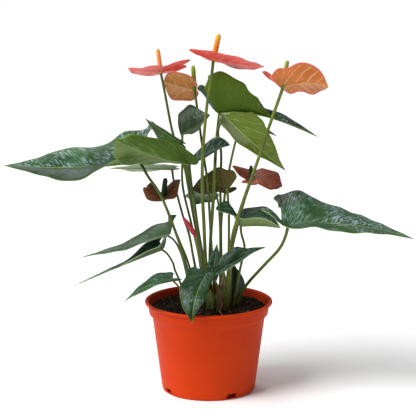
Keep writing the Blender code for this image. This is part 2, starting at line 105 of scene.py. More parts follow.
# Each blade: base (where the stalk joins), middle and tip of the midrib, then for each half the end of its
# lobe, its widest point and a point beyond the middle. A further edge point adds a place between these two,
# and one more adds a place before the tip. A pair in place of a lobe's end gives its inner and its outer
# edge. None keeps the heart shape's own place.
LEAVES = {
    "left_long": dict(
        base=(-88, 2, 301), middle=(-174, -3, 294), tip=(-262, 5, 295),
        left=(None, (-109, -36, 312), (-185, -38, 284)),
        right=((-72, 32, 345), (-103, 38, 334), (-139, 34, 315), (-191, 28, 311)),
    ),
    "left_upper": dict(
        base=(-25, -15, 301), middle=(-73, -55, 321), tip=(-115, -90, 348),
        left=((-16, -34, 312), (-53, -64, 341), (-99, -96, 354)),
        right=(
            ((26, -13, 325), (-1, -9, 329)), (-47, 3, 299), (-86, -16, 301), (-111, -50, 309),
            (-118, -76, 331),
        ),
    ),
    "left_flat": dict(
        base=(-47, 25, 286), middle=(-86, 22, 288), tip=(-127, 16, 289),
        left=((-40, 14, 293), (-62, 6, 296), (-94, 6, 296)),
        right=((-39, 38, 284), (-63, 52, 279), (-96, 44, 279)),
    ),
    "top": dict(
        base=(14, 0, 364), middle=(70, -2, 361), tip=(139, 2, 333),
        left=((-14, 20, 395), (16, 32, 392), (40, 26, 375), (94, 16, 360), (113, 8, 350)),
        right=(((-2, -6, 390), (0, -10, 412)), (13, -14, 420), (41, -15, 408), (60, -14, 388), (82, -6, 360)),
    ),
    "top_hanging": dict(
        base=(19, -8, 362), middle=(56, -15, 328), tip=(98, -18, 293),
        left=((40, -9, 360), (66, -11, 359), (75, -13, 345), (85, -16, 323)),
        right=((15, -22, 363), (23, -26, 346), (40, -28, 328), (62, -28, 315)),
    ),
    "small_upper": dict(
        base=(-34, 17, 332), middle=(-15, 16, 345), tip=(2, 16, 359),
        left=((-37, 24, 343), (-34, 28, 362), (-19, 26, 369)),
        right=((-28, 5, 336), (-15, 3, 340), (-5, 5, 352)),
    ),
    "left_back": dict(
        base=(-38, -6, 328), middle=(-58, -4, 340), tip=(-81, 2, 357),
        left=(None, (-46, -24, 328), (-64, -20, 334)),
        right=(None, (-47, 7, 335), (-71, 9, 350)),
    ),
    "centre_back": dict(
        base=(9, 35, 253), middle=(-11, 40, 251), tip=(-31, 45, 246),
        left=((12, 26, 250), (-1, 17, 244), (-20, 27, 241)),
        right=((12, 44, 256), (-1, 55, 256), (-20, 60, 255)),
    ),
    "right_middle": dict(
        base=(41, -10, 219), middle=(68, -12, 220), tip=(92, -22, 219),
        left=((38, 8, 229), (53, 22, 236), (80, 6, 236)),
        right=(((21, -12, 252), (16, -24, 241)), (52, -32, 234), (76, -36, 233)),
    ),
    "right_long": dict(
        base=(101, -20, 221), middle=(179, -35, 226), tip=(260, -50, 211),
        left=(((89, 34, 241), (91, 46, 249)), (115, 48, 253), (150, 36, 240), (191, 6, 231)),
        right=((68, -62, 254), (122, -72, 231), (183, -75, 225)),
    ),
    "low_left_upper": dict(
        base=(-53, -10, 207), middle=(-107, -5, 191), tip=(-165, 5, 174),
        left=((-50, -22, 212), (-67, -33, 208), (-116, -25, 189)),
        right=(((-43, 15, 225), (-52, 20, 225)), (-65, 20, 215), (-117, 15, 188)),
    ),
    "low_left_middle": dict(
        base=(-60, -25, 192), middle=(-111, -20, 170), tip=(-172, -10, 141),
        left=((-52, -50, 216), (-77, -52, 196), (-119, -35, 169)),
        right=((-63, -4, 202), (-78, -2, 196), (-114, -5, 168)),
    ),
    "low_left_small": dict(
        base=(-48, -42, 157), middle=(-77, -50, 150), tip=(-107, -60, 132),
        left=(None, (-61, -66, 157), (-83, -66, 146)),
        right=((-46, -25, 161), (-62, -25, 161), (-84, -35, 150)),
    ),
    "front": dict(
        base=(-3, -42, 163), middle=(-16, -80, 143), tip=(-21, -98, 114),
        left=((4, -42, 181), (3, -54, 159), (-8, -88, 136)),
        right=((-23, -36, 171), (-35, -62, 156), (-32, -88, 131)),
    ),
    "low_right_upper": dict(
        base=(18, -34, 168), middle=(46, -34, 185), tip=(73, -29, 196),
        left=((13, -29, 178), (31, -27, 194), (53, -27, 194)),
        right=((10, -44, 164), (32, -54, 177), (53, -46, 190)),
    ),
    "low_right_back": dict(
        base=(30, 20, 129), middle=(33, 28, 143), tip=(33, 30, 159),
        left=(None, (23, 16, 140), (25, 22, 153)),
        right=(None, (47, 13, 133), (43, 23, 146)),
    ),
    "young": dict(
        base=(5, -29, 157), middle=(8, -25, 178), tip=(11, -20, 199),
        left=(None, (-3, -27, 168), None),
        right=(None, (15, -26, 168), None),
    ),
}

# Stalk of each blade: where it leaves the soil (x, y), the places it passes, and its radius at foot and top.
PETIOLES = {
    "left_long": (
        (-13, -16),
        ((-28, -22, 167), (-41, -28, 212), (-60, -34, 263), (-77, -20, 286)),
        2.1, 1.7,
    ),
    "left_upper": ((3, -5), ((-7, -6, 174), (-14, -8, 217), (-18, -8, 247), (-22, -8, 272)), 2.0, 1.8),
    "left_flat": (
        (-6, -9),
        ((-19, -8, 174), (-25, -4, 206), (-33, 4, 229), (-40, 14, 253), (-45, 20, 272)),
        1.7, 1.4,
    ),
    "top": (
        (2, 3),
        ((2, -4, 186), (5, -9, 238), (7, -10, 272), (8, -6, 294), (9, 4, 314), (11, 6, 337)),
        2.2, 2.0,
    ),
    "top_hanging": (
        (17, 0),
        ((16, 6, 194), (16, 12, 227), (15, 15, 264), (16, 9, 310), (12, -5, 341)),
        1.8, 1.6,
    ),
    "small_upper": ((-4, 7), ((-12, 6, 172), (-23, 8, 221), (-33, 10, 265), (-34, 16, 300)), 1.7, 1.4),
    "left_back": (
        (1, 13),
        ((-8, 12, 166), (-13, 11, 207), (-23, 14, 259), (-29, 16, 296), (-35, 8, 318)),
        1.7, 1.4,
    ),
    "centre_back": ((15, 20), ((15, 28, 192), (13, 34, 235)), 1.5, 1.3),
    "right_middle": ((31, -3), ((39, -8, 154), (43, -10, 174), (46, -11, 192), (42, -11, 209)), 1.7, 1.5),
    "right_long": ((34, 6), ((47, 3, 135), (69, -4, 163), (90, -10, 188), (98, -16, 206)), 2.1, 2.0),
    "low_left_upper": ((-19, -3), ((-31, -12, 168), (-39, -12, 192), (-46, -11, 202)), 1.5, 1.2),
    "low_left_middle": (
        (-24, -9),
        ((-37, -16, 147), (-43, -20, 163), (-46, -22, 174), (-53, -24, 186)),
        1.5, 1.3,
    ),
    "low_left_small": ((-22, -20), ((-37, -30, 141), (-43, -37, 151)), 1.4, 1.1),
    "front": ((12, -27), ((12, -29, 128), (11, -35, 147), (5, -40, 156)), 1.6, 1.4),
    "low_right_upper": ((20, -20), ((23, -26, 144), (21, -31, 157)), 1.5, 1.3),
    "low_right_back": ((25, 13), ((27, 16, 118),), 1.5, 1.3),
}

# Flowers: the peduncle as above, the spathe as a blade, and the spadix as its tip and radius.
FLOWERS = {
    "left": dict(
        stalk=(
            (5, 19),
            ((-16, 21, 207), (-26, 27, 262), (-32, 30, 291), (-46, 31, 332), (-56, 27, 385)),
            2.1, 1.5,
        ),
        base=(-61, 25, 412), middle=(-81, 20, 414), tip=(-103, 15, 419),
        left=(((-31, 8, 425), (-30, -4, 433)), (-60, -6, 426), (-87, 0, 421)),
        right=(((-32, 40, 419), (-36, 50, 412)), (-67, 55, 404), (-91, 40, 408)),
        spadix=((-65, 24, 443), 2.8),
    ),
    "top": dict(
        stalk=(
            (0, -12),
            ((-4, -16, 176), (-6, -20, 224), (-8, -23, 266), (-8, -25, 304), (-7, -26, 325), (-2, -22, 379),
             (3, -20, 410)),
            2.5, 1.8,
        ),
        base=(6, -18, 435), middle=(37, -20, 430), tip=(70, -22, 427),
        left=((-16, 2, 440), (16, 12, 426), (44, 2, 421)),
        right=((-24, -46, 453), (15, -52, 449), (42, -45, 439)),
        spadix=((13, -17, 468), 3.5),
    ),
    "right": dict(
        stalk=((22, -12), ((29, -24, 196), (37, -40, 237), (62, -44, 312), (77, -40, 357)), 2.5, 1.9),
        base=(93, -30, 402), middle=(122, -32, 408), tip=(150, -35, 403),
        left=((70, -5, 416), (111, 0, 391), (133, -5, 393)),
        right=((80, -52, 424), (106, -55, 435), (131, -50, 427)),
        spadix=((99, -26, 436), 2.9),
    ),
    "upper_back": dict(
        stalk=(
            (9, 9),
            ((4, 8, 183), (2, 4, 219), (0, 0, 254), (-2, -1, 279), (-6, 12, 304), (-10, 30, 329),
             (-14, 40, 358)),
            1.8, 1.5,
        ),
        base=(-18, 46, 386), middle=(-37, 42, 391), tip=(-58, 38, 398),
        left=((-16, 34, 398), (-31, 26, 410), (-47, 30, 408)),
        right=((-14, 56, 377), (-29, 62, 369), (-47, 57, 377)),
        spadix=((-20, 46, 418), 2.9),
    ),
    "brown_left": dict(
        stalk=((-12, -2), ((-25, -5, 165), (-37, -19, 201), (-45, -19, 221), (-54, -8, 241)), 1.5, 1.3),
        base=(-58, -2, 252), middle=(-47, -7, 263), tip=(-36, -10, 280),
        left=(((-79, 22, 262), (-71, 28, 266)), (-60, 20, 257), (-47, 6, 271)),
        right=(((-83, -20, 271), (-74, -28, 257)), (-55, -27, 256), (-42, -20, 263)),
        spadix=((-55, -1, 280), 3.4),
    ),
    "brown_centre": dict(
        stalk=((25, -4), ((26, -3, 190), (26, -4, 229), (25, -5, 250)), 1.8, 1.6),
        base=(24, -6, 268), middle=(2, 12, 268), tip=(-21, 30, 259),
        left=((35, -18, 288), (17, -8, 295), (-5, 13, 277)),
        right=((35, 4, 264), (15, 8, 259), (-8, 25, 256)),
        spadix=((27, 10, 289), 2.8),
    ),
    "brown_right": dict(
        stalk=((27, 5), ((30, 20, 174), (38, 34, 210), (47, 38, 243)), 1.6, 1.4),
        base=(54, 30, 268), middle=(74, 27, 274), tip=(95, 25, 263),
        left=((32, 54, 285), (67, 57, 280), (86, 44, 275)),
        right=((43, 3, 274), (62, -3, 273), (80, 5, 266)),
        spadix=((55, 30, 290), 2.6),
    ),
}

# Furled buds are one piece with their stalks: the places passed, and a radius at each in millimetres.
BUDS = {
    "red": (
        (2, -19),
        ((-9, -18, 168), (-14, -23, 193), (-17, -25, 209), (-21, -27, 217), (-27, -28, 227), (-34, -28, 237)),
        (1.7, 1.5, 1.4, 2.2, 3.3, 2.6, 0.4),
    ),
    "brown": (
        (18, 9),
        ((16, 20, 207), (20, 26, 244), (22, 27, 260), (28, 29, 292), (35, 33, 322), (41, 36, 340),
         (54, 36, 343), (70, 36, 337), (87, 36, 328)),
        (1.9, 1.8, 1.7, 1.7, 1.6, 1.5, 1.5, 3.4, 3.0, 0.5),
    ),
}

ROOT_PATH = ((17.5, -22, 121), (16, -26, 116), (14.5, -36, 113), (18, -48, 110.4), (22, -58, 110.0))
ROOT_RADIUS = 0.0011

SHEATH = dict(
    base=(13, -17, 110.5), middle=(13.5, -18.5, 125), tip=(16, -17, 143),
    left=(None, (8, -14.5, 114), (9.5, -15, 128)),
    right=(None, (18, -15, 114), (18.5, -15.5, 128)),
)


def leaf_looks(top, under, arch, wave, sheen_streaks, shaded_half=0.0, near=None, turned=False):
    """Upper side and underside in sRGB, how far each half arches (left, right) as a share of its width,
    the height of the margin's waves in millimetres and how strong the streaked, painted sheen is."""
    return dict(
        top=top, under=under, arch=arch, wave=wave, sheen_streaks=sheen_streaks, shaded_half=shaded_half, near=near or under,
        turned=turned,
    )


def spathe_looks(top, under, vein, arch, wave):
    return dict(top=top, under=under, vein=vein, arch=arch, wave=wave)


# A darker half of the upper side, where given, is painted shade.
# A paler right half of the underside, where given, is painted sheen.
BLADE_LOOKS = {
    "left_long": leaf_looks((46, 84, 40), (104, 128, 66), (0.05, 0.05), 0.6, 1.0, shaded_half=0.9),
    "left_upper": leaf_looks((38, 66, 40), (82, 112, 34), (-0.1, 0.06), 0.4, 0.4, near=(128, 150, 92)),
    "left_flat": leaf_looks((110, 140, 96), (150, 172, 134), (0.03, 0.03), 0.7, 0.3),
    "top": leaf_looks((34, 64, 38), (78, 104, 24), (0.06, -0.08), 0.4, 0.8),
    "top_hanging": leaf_looks(
        (60, 92, 44), (108, 130, 44), (0.04, -0.06), 0.5, 0.4, near=(150, 158, 126), turned=True,
    ),
    "small_upper": leaf_looks((58, 74, 50), (92, 104, 74), (0.08, 0.08), 0.5, 0.5, near=(168, 174, 160)),
    "left_back": leaf_looks((50, 82, 36), (122, 116, 98), (0.05, 0.05), 0.4, 0.4),
    "centre_back": leaf_looks((92, 118, 84), (126, 148, 116), (0.05, 0.05), 0.5, 0.3),
    "right_middle": leaf_looks((34, 64, 30), (136, 156, 100), (0.06, 0.06), 0.4, 0.3),
    "right_long": leaf_looks((44, 84, 38), (128, 148, 104), (0.05, 0.04), 0.7, 1.0, shaded_half=-0.25),
    "low_left_upper": leaf_looks((64, 90, 56), (120, 142, 112), (0.04, 0.04), 0.4, 0.3),
    "low_left_middle": leaf_looks((40, 76, 40), (118, 138, 108), (0.05, 0.05), 0.4, 0.3),
    "low_left_small": leaf_looks((44, 80, 38), (110, 130, 96), (0.07, 0.07), 0.4, 0.4),
    "front": leaf_looks((38, 66, 34), (110, 134, 84), (0.08, 0.08), 0.5, 0.4),
    "low_right_upper": leaf_looks((38, 62, 34), (104, 128, 90), (0.08, 0.08), 0.4, 0.4),
    "low_right_back": leaf_looks((36, 60, 36), (70, 96, 60), (0.08, 0.08), 0.3, 0.3),
    "young": leaf_looks((38, 66, 42), (60, 92, 58), (0.06, 0.06), 0.2, 0.3),
}
SPATHE_LOOKS = {
    "left": spathe_looks((255, 90, 76), (255, 88, 76), (255, 138, 120), (0.05, 0.05), 0.8),
    "top": spathe_looks((255, 88, 76), (255, 84, 74), (255, 138, 122), (0.05, 0.05), 0.7),
    "right": spathe_looks((238, 100, 84), (216, 122, 58), (255, 204, 140), (0.08, 0.08), 0.6),
    "upper_back": spathe_looks((232, 116, 90), (230, 150, 82), (255, 210, 146), (0.08, 0.08), 0.6),
    "brown_left": spathe_looks((118, 66, 42), (112, 72, 48), (150, 104, 74), (0.08, 0.08), 1.0),
    "brown_centre": spathe_looks((112, 62, 38), (76, 66, 22), (116, 98, 44), (0.06, 0.06), 0.8),
    "brown_right": spathe_looks((150, 66, 40), (144, 66, 42), (178, 100, 66), (0.06, 0.06), 1.4),
}
MARGINS = {"right": (238, 112, 92), "upper_back": (236, 122, 98)}
SPADIX_LOOKS = {
    "left": ((255, 186, 120), (255, 190, 40)),
    "top": ((255, 160, 52), (255, 204, 66)),
    "right": ((150, 160, 50), (178, 196, 66)),
    "upper_back": ((132, 156, 44), (172, 192, 62)),
    "brown_left": ((52, 78, 46), (44, 72, 48)),
    "brown_centre": ((58, 80, 44), (48, 72, 44)),
    "brown_right": ((48, 66, 44), (40, 60, 42)),
}
# The stalks' green, and a darker copy of it as seen in shade, mixed into their skin as painted shade.
STALK_GREEN = (92, 110, 32)
STALK_SHADE = (62, 80, 22)

# Sheaths at the stalks' feet: the CAD's dry one, and green and pinkish ones beside it.
SHEATHS = {
    "sheath": (SHEATH, (112, 82, 66), (150, 116, 96)),
    "sheath_green_left": (
        dict(base=(3, -17, 109), middle=(2, -20, 122), tip=(2, -21, 138),
             left=(None, (-2, -13, 115), (-1, -16, 128)), right=(None, (8, -15, 115), (6, -18, 128))),
        (104, 116, 62), (130, 140, 86),
    ),
    "sheath_green_right": (
        dict(base=(19, -14, 109), middle=(20, -17, 123), tip=(19, -17, 141),
             left=(None, (14.5, -12, 115), (15.5, -14, 129)), right=(None, (24, -12, 115), (23, -14, 129))),
        (100, 118, 60), (124, 138, 80),
    ),
    "sheath_pink": (
        dict(base=(21, -7, 112), middle=(20, -9, 134), tip=(19, -9, 155),
             left=(None, (16.5, -6, 122), (17, -7, 142)), right=(None, (24, -6, 122), (23, -7, 142))),
        (176, 138, 118), (206, 176, 156),
    ),
}

# Rows and columns of each half of a blade, by the blade's size.
LARGE_LEAF = 0.08
LARGE_GRID = (91, 15)
SMALL_GRID = (61, 11)
SPATHE_GRID = (73, 13)
SHEATH_GRID = (41, 9)

MIDRIB_RADIUS = 0.0011
FOOT_FLARE = 1.35
TOP_FLARE = 1.15
STALK_SINK = 0.0006
SPADIX_PITCH = 0.0017
SPADIX_RING = 0.0004
WAVE_LENGTH = 0.034
VEIN_SPACING = 0.0115
SPATHE_VEIN_SPACING = 0.0125
QUILT_HEIGHT = 0.0004
CRUMBS = 2200

# Places, sizes in metres and powers of the lamps; the sun's softness is in degrees.
SKY_COLOUR = (0.99, 0.995, 1.0, 1.0)
SKY_STRENGTH = 0.30
SUN_TOWARDS = (-0.74, -0.50, 0.98)
SUN_STRENGTH = 3.2
SUN_SOFTNESS = 36
SOFTBOX_COLOUR = (0.97, 0.99, 1.0)
SOFTBOXES = {
    "softbox_back": ((-0.5, 1.3, 1.5), 0.9, 7),
    "softbox_left": ((-1.8, 0.2, 1.0), 0.8, 6),
}
FLOOR_SIZE = 40.0
LOOK_AT = Vector((0.0, 0.0, 0.24))
CAMERA_PLACE = (-0.0008, -3.0, 0.9078)
CAMERA_PITCH = 0.2189
CAMERA_LENS = 207.37


def linear(colour):
    """Linear RGBA of an sRGB colour given as 0-255."""
    shares = [channel / 255 for channel in colour]
    return (*[c / 12.92 if c <= 0.04045 else ((c + 0.055) / 1.055) ** 2.4 for c in shares], 1.0)


def shade(colour, factor):
    return tuple(min(255.0, channel * factor) for channel in colour)


class Material:
    """A Principled material with short ways of adding pattern nodes to it."""

    def __init__(self, name, roughness=0.5, specular=0.5, coat=0.0, coat_roughness=0.15):
        self.material = bpy.data.materials.new(name)
        self.material.use_nodes = True
        self.tree = self.material.node_tree
        self.shader = self.tree.nodes["Principled BSDF"]
        self.shader.inputs["Roughness"].default_value = roughness
        self.shader.inputs["Specular IOR Level"].default_value = specular
        self.shader.inputs["Coat Weight"].default_value = coat
        self.shader.inputs["Coat Roughness"].default_value = coat_roughness
        self.normal = None

    def add(self, kind, inputs=(), **settings):
        node = self.tree.nodes.new("ShaderNode" + kind)
        for key, value in settings.items():
            setattr(node, key, value)
        for key, value in dict(inputs).items():
            self.put(node.inputs[key], value)
        return node

    def put(self, socket, value):
        if isinstance(value, bpy.types.NodeSocket):
            self.tree.links.new(value, socket)
        else:
            socket.default_value = value

    def colour(self, value):
        self.put(self.shader.inputs["Base Color"], value)

    def roughness(self, pattern, span, start):
        """Roughness that follows a pattern from 0 to 1."""
        self.put(self.shader.inputs["Roughness"], self.math("MULTIPLY_ADD", pattern, span, start))

    def position(self):
        return self.add("TexCoord").outputs["Object"]

    def vein_place(self):
        """Distance along the edge, distance out from the midrib (both in metres) and share of the way out."""
        found = self.add("Attribute", attribute_name="vein").outputs["Vector"]
        split = self.add("SeparateXYZ", {"Vector": found})
        return split.outputs["X"], split.outputs["Y"], split.outputs["Z"]

    def along(self):
        return self.add("Attribute", attribute_name="along").outputs["Fac"]

    def math(self, operation, first, second=0.0, third=0.0):
        node = self.add("Math", operation=operation)
        self.put(node.inputs[0], first)
        self.put(node.inputs[1], second)
        self.put(node.inputs[2], third)
        return node.outputs[0]

    def times(self, first, second):
        return self.math("MULTIPLY", first, second)

    def fade(self, value, start, end):
        """0 at start and 1 at end, eased between them."""
        inputs = {"Value": value, "From Min": start, "From Max": end}
        return self.add("MapRange", inputs, interpolation_type="SMOOTHSTEP").outputs["Result"]

    def stretched(self, x, y, z, scales):
        node = self.add("CombineXYZ")
        for socket, value, scale in zip(node.inputs, (x, y, z), scales):
            self.put(socket, self.times(value, scale))
        return node.outputs["Vector"]

    def noise(self, vector, scale, detail=3.0, rough=0.5):
        inputs = {"Vector": vector, "Scale": scale, "Detail": detail, "Roughness": rough}
        return self.add("TexNoise", inputs).outputs["Fac"]

    def cells(self, vector, scale, feature="F1"):
        return self.add("TexVoronoi", {"Vector": vector, "Scale": scale}, feature=feature).outputs["Distance"]

    def mix(self, factor, first, second):
        node = self.add("Mix", data_type="RGBA")
        self.put(node.inputs[0], factor)
        self.put(node.inputs[6], linear(first) if isinstance(first, tuple) else first)
        self.put(node.inputs[7], linear(second) if isinstance(second, tuple) else second)
        return node.outputs[2]

    def bump(self, height, distance, strength=1.0):
        inputs = {"Height": height, "Distance": distance, "Strength": strength}
        if self.normal is not None:
            inputs["Normal"] = self.normal
        self.normal = self.add("Bump", inputs).outputs["Normal"]
        self.put(self.shader.inputs["Normal"], self.normal)


def vein_lines(look, along_edge, spacing, sharpness):
    """1 on the side veins and 0 midway between them, with the veins' spacing a little uneven."""
    uneven = look.noise(look.position(), 55.0, 2.0)
    moved = look.math("MULTIPLY_ADD", uneven, spacing * 0.55, along_edge)
    wave = look.math("PINGPONG", moved, spacing / 2)
    return look.fade(wave, spacing / 2 * (1 - sharpness), spacing / 2)


def leaf_top_material(name, colour, sheen_streaks, shaded_half):
    """Glossy green with pale lines of painted sheen; the last argument is how far one half is painted darker,
    as painted shade, and free of the sheen, the left one where it is positive."""
    look = Material(f"leaf_top_{name}", roughness=0.38, specular=0.14)
    along_edge, outward, share = look.vein_place()
    veins = vein_lines(look, along_edge, VEIN_SPACING, 0.35)
    broad = look.noise(look.position(), 22.0, 4.0, 0.6)
    fine = look.noise(look.stretched(along_edge, outward, share, (1.0, 0.14, 0.01)), 520.0, 3.0, 0.6)
    tone = look.mix(look.fade(broad, 0.3, 0.7), shade(colour, 0.72), shade(colour, 1.12))
    tone = look.mix(look.times(veins, 0.16), tone, shade(colour, 1.5))
    # Fine lines of painted sheen: the gloss's pale bluish reflection painted into the colour, shown in
    # scattered areas only.
    painted_sheen = look.times(look.fade(fine, 0.46, 0.64), 0.75 * sheen_streaks)
    sheen_areas = look.fade(look.noise(look.position(), 26.0, 2.0), 0.36, 0.58)
    # One half painted darker as painted shade and left without sheen: the left half where the value is
    # positive, the right half where it is negative.
    side = look.times(look.fade(outward, 0.0, math.copysign(0.002, shaded_half)), abs(shaded_half))
    sheen_mask = look.times(look.math("SUBTRACT", 1.0, side), sheen_areas)
    tone = look.mix(look.times(side, 0.9), tone, shade(colour, 0.55))
    # Painted sheen: a pale bluish white laid over the green.
    tone = look.mix(look.times(painted_sheen, sheen_mask), tone, (166, 190, 196))
    rib = look.fade(look.math("ABSOLUTE", outward), 0.0014, 0.0005)
    tone = look.mix(rib, tone, (134, 160, 88))
    # Pale yellow-green margin: partly the leaf's own edge colour and partly a painted rim highlight.
    look.colour(look.mix(look.fade(share, 0.975, 0.995), tone, (120, 142, 70)))
    look.roughness(fine, -0.20, 0.46)
    look.bump(look.math("SUBTRACT", 1.0, veins), 0.0004, 0.35)
    look.bump(fine, 0.0006, 0.2 + 0.3 * sheen_streaks)
    look.bump(look.times(rib, -1.0), 0.0006, 0.8)
    return look.material


def leaf_under_material(name, colour, near):
    """Duller green with raised veins; the last argument is the right half's colour, a paler grey painted
    sheen where it differs from the underside's colour.
    """
    look = Material(f"leaf_under_{name}", roughness=0.55, specular=0.16)
    along_edge, outward, share = look.vein_place()
    veins = vein_lines(look, along_edge, VEIN_SPACING, 0.22)
    broad = look.noise(look.position(), 18.0, 3.0)
    fine = look.noise(look.stretched(along_edge, outward, share, (1.0, 0.15, 0.01)), 300.0, 3.0, 0.6)
    # The right half takes the paler colour: painted sheen.
    base = look.mix(look.fade(outward, 0.0, -0.001), colour, near)
    tone = look.mix(look.fade(broad, 0.3, 0.7), base, shade(colour, 0.8))
    # Fine pale lines in a lighter copy of that colour: painted sheen.
    tone = look.mix(look.times(look.fade(fine, 0.5, 0.75), 0.3), tone, shade(near, 1.3))
    tone = look.mix(look.times(veins, 0.3), tone, shade(colour, 1.3))
    # Lighter margin: partly the leaf's own edge colour and partly a painted rim highlight.
    look.colour(look.mix(look.fade(share, 0.97, 0.995), tone, shade(colour, 1.3)))
    look.roughness(fine, 0.2, 0.45)
    look.bump(veins, 0.0006, 0.7)
    look.bump(fine, 0.0004, 0.3)
    return look.material


def spathe_material(name, colour, vein, margin, rough):
    look = Material(name, roughness=rough, specular=0.26)
    along_edge, outward, share = look.vein_place()
    veins = vein_lines(look, along_edge, SPATHE_VEIN_SPACING, 0.24)
    mottle = look.noise(look.position(), 60.0, 4.0, 0.6)
    fine = look.noise(look.stretched(along_edge, outward, share, (1.0, 0.3, 0.01)), 380.0, 3.0, 0.6)
    tone = look.mix(look.fade(mottle, 0.3, 0.7), shade(colour, 0.92), shade(colour, 1.06))
    tone = look.mix(look.times(look.fade(fine, 0.5, 0.8), 0.35), tone, vein)
    tone = look.mix(look.times(veins, 0.9), tone, vein)
    rib = look.fade(look.math("ABSOLUTE", outward), 0.0014, 0.0005)
    tone = look.mix(look.times(rib, 0.8), tone, vein)
    edge = look.fade(look.math("MULTIPLY_ADD", mottle, 0.12, share), 0.90, 1.03)
    look.colour(look.mix(edge, tone, margin))
    look.roughness(fine, 0.2, rough - 0.1)
    look.bump(veins, 0.0009, 0.8)
    look.bump(fine, 0.0005, 0.45)
    return look.material


def spadix_material(name, low, high):
    look = Material(name, roughness=0.5, specular=0.2)
    grain = look.cells(look.position(), 900.0)
    tone = look.mix(look.fade(look.along(), 0.45, 0.95), low, high)
    # Darker towards the cells' edges, the hollows between the florets' bumps: painted shade.
    look.colour(look.mix(look.fade(grain, 0.25, 0.75), tone, shade(low, 0.84)))
    look.roughness(grain, 0.3, 0.4)
    look.bump(look.math("SUBTRACT", 1.0, grain), 0.0004, 0.6)
    return look.material


def stalk_material(name, colour, dark):
    look = Material(name, roughness=0.45, specular=0.3)
    place = look.position()
    split = look.add("SeparateXYZ", {"Vector": place})
    grain = look.noise(look.stretched(*split.outputs, (1.0, 1.0, 0.08)), 900.0, 3.0)
    blotch = look.noise(place, 28.0, 3.0)
    # Random spots of the darker copy, a shaded version of the skin colour: painted shade.
    tone = look.mix(look.fade(blotch, 0.35, 0.7), colour, dark)
    tone = look.mix(look.times(look.fade(grain, 0.45, 0.75), 0.5), tone, shade(colour, 1.3))
    foot = look.fade(split.outputs["Z"], 0.150, 0.108)
    look.colour(look.mix(look.times(foot, 0.45), tone, (96, 88, 54)))
    look.roughness(grain, 0.25, 0.3)
    look.bump(grain, 0.0003, 0.5)
    return look.material


def papery_material(name, colour, pale):
    look = Material(name, roughness=0.75, specular=0.25)
    along_edge, outward, share = look.vein_place()
    fibres = look.noise(look.stretched(outward, along_edge, share, (1.0, 0.08, 0.01)), 2200.0, 4.0, 0.6)
    blotch = look.noise(look.position(), 90.0, 3.0)
    tone = look.mix(look.fade(blotch, 0.3, 0.7), colour, pale)
    look.colour(look.mix(look.times(look.fade(fibres, 0.45, 0.7), 0.6), tone, shade(colour, 0.6)))
    look.roughness(fibres, 0.2, 0.65)
    look.bump(fibres, 0.0004, 0.6)
    return look.material


def woody_material(name, colour, dark):
    look = Material(name, roughness=0.8, specular=0.2)
    grain = look.noise(look.position(), 700.0, 4.0, 0.6)
    look.colour(look.mix(look.fade(grain, 0.35, 0.65), dark, colour))
    look.roughness(grain, 0.2, 0.7)
    look.bump(grain, 0.0006, 0.8)
    return look.material


def peat_material(name, dark, light):
    look = Material(name, roughness=0.95, specular=0.15)
    place = look.position()
    fibre = look.noise(place, 600.0, 5.0, 0.7)
    clump = look.noise(place, 110.0, 4.0, 0.6)
    tone = look.mix(look.fade(clump, 0.35, 0.7), dark, light)
    tone = look.mix(look.times(look.fade(fibre, 0.55, 0.8), 0.7), tone, shade(light, 1.7))
    look.colour(tone)
    look.roughness(fibre, 0.15, 0.8)
    look.bump(fibre, 0.0012, 0.9)
    return look.material


def pot_material():
    look = Material("pot_plastic", roughness=0.55, specular=0.1)
    place = look.position()
    cloud = look.noise(place, 9.0, 3.0)
    speck = look.noise(place, 260.0, 3.0, 0.6)
    tone = look.mix(look.fade(cloud, 0.3, 0.7), (190, 50, 2), (198, 58, 6))
    tone = look.mix(look.times(look.fade(speck, 0.55, 0.8), 0.20), tone, (218, 78, 30))
    look.colour(tone)
    look.roughness(speck, 0.16, 0.44)
    look.bump(look.noise(place, 1500.0, 2.0), 0.0002, 0.35)
    return look.material


def floor_material():
    look = Material("floor_paper", roughness=0.9, specular=0.1)
    grain = look.noise(look.position(), 6.0, 4.0)
    look.colour(look.mix(grain, (250, 250, 250), (254, 254, 254)))
    return look.material


def keep(piece, node=None):
    """Rides the piece on the body and, where it has one, hides its CAD node."""
    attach(piece, BODY)
    if node is not None:
        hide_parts(node)
    return piece


def add_object(name, data, *materials):
    piece = bpy.data.objects.new(name, data)
    bpy.context.scene.collection.objects.link(piece)
    for material in materials:
        data.materials.append(material)
    return piece


def finished_mesh(name, mesh_edit):
    mesh = bpy.data.meshes.new(name)
    mesh_edit.to_mesh(mesh)
    mesh_edit.free()
    return mesh


def millimetres(points):
    return [np.array(point, float) * MM for point in points]


def smooth_path(points, count):
    """Even samples of a Catmull-Rom curve through the points."""
    points = np.asarray(points, float)
    ends = np.vstack([2 * points[0] - points[1], points, 2 * points[-1] - points[-2]])
    place_along = np.linspace(0, len(points) - 1, count)
    index = np.minimum(place_along.astype(int), len(points) - 2)
    t = (place_along - index)[:, None]
    a, b, c, d = (ends[index + shift] for shift in range(4))
    curve = 2 * b + (c - a) * t + (2 * a - 5 * b + 4 * c - d) * t**2 + (3 * b - a - 3 * c + d) * t**3
    return curve / 2


def ease(share):
    """Smooth step from 0 to 1."""
    share = np.clip(share, 0, 1)
    return share * share * (3 - 2 * share)


def unit(vectors, fallback):
    length = np.linalg.norm(vectors, axis=-1, keepdims=True)
    return np.where(length > 1e-12, vectors / np.maximum(length, 1e-12), fallback)


